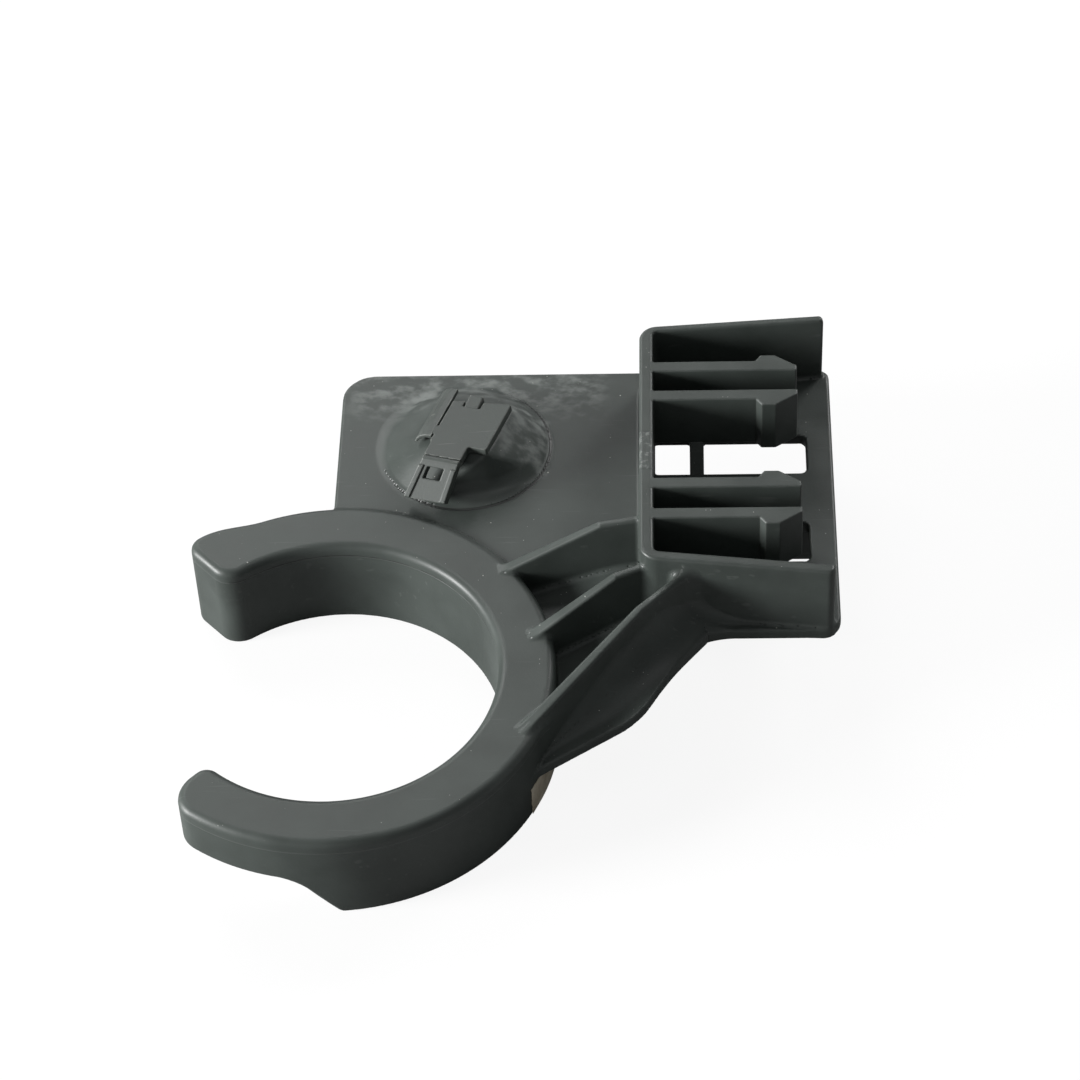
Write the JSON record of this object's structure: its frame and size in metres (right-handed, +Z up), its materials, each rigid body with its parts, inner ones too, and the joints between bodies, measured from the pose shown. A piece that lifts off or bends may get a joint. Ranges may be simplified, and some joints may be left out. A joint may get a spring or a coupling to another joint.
{
  "type": "cup holder bracket",
  "caption": "Moulded bracket with an open ring that holds a mug or cup, a ribbed arm, and an open-sided socket with barbed snap fingers that fixes it beside a desk or seat.",
  "frame": {"origin": "centre of the cup ring, on the ring's underside", "axes": "+Z up along the cup ring's axis, +X from the ring's open mouth towards the open side of the socket, +Y from the ring towards the rear edge of the plate"},
  "size_m": [0.1501, 0.1458, 0.0418],
  "materials": {
    "moulded_plastic": "fine moulded grain, black, lightly scuffed",
    "clip_plastic": "smooth moulded, black",
    "label_paper": "plain uncoated paper, no print"
  },
  "bodies": {
    "bracket": {"cup_ring": "moulded_plastic", "ring_rear_tip": "moulded_plastic", "ring_front_tip": "moulded_plastic", "mounting_plate": "moulded_plastic", "web_floor": "moulded_plastic", "web_rib_rear": "moulded_plastic", "web_rib_middle": "moulded_plastic", "web_rib_front": "moulded_plastic", "socket_side_wall": "moulded_plastic", "socket_rear_wall": "moulded_plastic", "socket_front_wall": "moulded_plastic", "guide_rail_rear": "moulded_plastic", "guide_rail_front": "moulded_plastic", "finger_bridge_rear": "moulded_plastic", "finger_bridge_front": "moulded_plastic", "finger_root_1": "moulded_plastic", "finger_root_2": "moulded_plastic", "finger_root_3": "moulded_plastic", "finger_root_4": "moulded_plastic", "clip_boss": "moulded_plastic", "clip_plate": "clip_plastic", "clip_wing": "clip_plastic", "clip_catch_tab": "clip_plastic", "label": "label_paper"},
    "finger_1": {"snap_finger_1": "moulded_plastic"},
    "finger_2": {"snap_finger_2": "moulded_plastic"},
    "finger_3": {"snap_finger_3": "moulded_plastic"},
    "finger_4": {"snap_finger_4": "moulded_plastic"},
    "latch_arm": {"clip_latch_arm": "clip_plastic"}
  },
  "joints": [
    {"name": "finger_1_bend", "type": "hinge", "parent": "bracket", "child": "finger_1", "pos_m": [0.0864, 0.07785, 0.0345], "axis": [0, 0, -1], "range_deg": [-2, 8], "stiffness_Nm_per_rad": 5},
    {"name": "finger_2_bend", "type": "hinge", "parent": "bracket", "child": "finger_2", "pos_m": [0.0864, 0.06825, 0.0345], "axis": [0, 0, 1], "range_deg": [-2, 8], "stiffness_Nm_per_rad": 5},
    {"name": "finger_3_bend", "type": "hinge", "parent": "bracket", "child": "finger_3", "pos_m": [0.0864, 0.03985, 0.0345], "axis": [0, 0, -1], "range_deg": [-2, 8], "stiffness_Nm_per_rad": 5},
    {"name": "finger_4_bend", "type": "hinge", "parent": "bracket", "child": "finger_4", "pos_m": [0.0864, 0.03025, 0.0345], "axis": [0, 0, 1], "range_deg": [-2, 8], "stiffness_Nm_per_rad": 5},
    {"name": "latch_lift", "type": "hinge", "parent": "bracket", "child": "latch_arm", "pos_m": [0.02318, 0.05579, 0.03305], "axis": [-0.9315, 0.3483, -0.1045], "range_deg": [0, 10], "stiffness_Nm_per_rad": 1}
  ]
}
